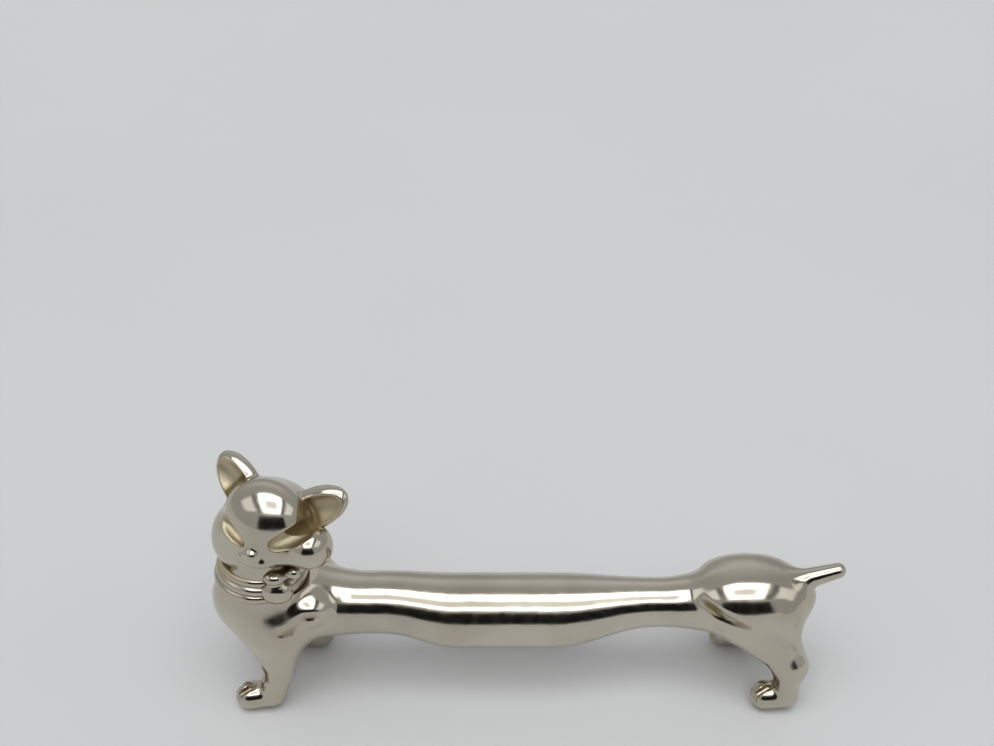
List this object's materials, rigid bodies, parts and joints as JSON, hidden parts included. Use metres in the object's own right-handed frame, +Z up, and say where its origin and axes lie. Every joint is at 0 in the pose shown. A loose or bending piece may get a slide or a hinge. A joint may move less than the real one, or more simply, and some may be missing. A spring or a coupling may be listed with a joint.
{
  "type": "knife rest",
  "caption": "Plated metal cat with a long round body between short legs, which holds knife and fork tips off the table.",
  "frame": {"origin": "middle of the footprint on the table", "axes": "+X from the head to the tail along the body, +Z up, the face turned to -Y"},
  "size_m": [0.075, 0.0143, 0.033],
  "materials": {
    "silver_plate": "polished silver plate, tarnished in the hollows",
    "dowel_brass": "turned, hidden inside"
  },
  "bodies": {
    "root": {"body_bar": "silver_plate", "forequarter_casting": "silver_plate", "hindquarter_casting": "silver_plate", "head_casting": "silver_plate", "neck_ribbon": "silver_plate", "ribbon_bow": "silver_plate", "tail": "silver_plate", "head_dowel": "dowel_brass"}
  },
  "joints": []
}
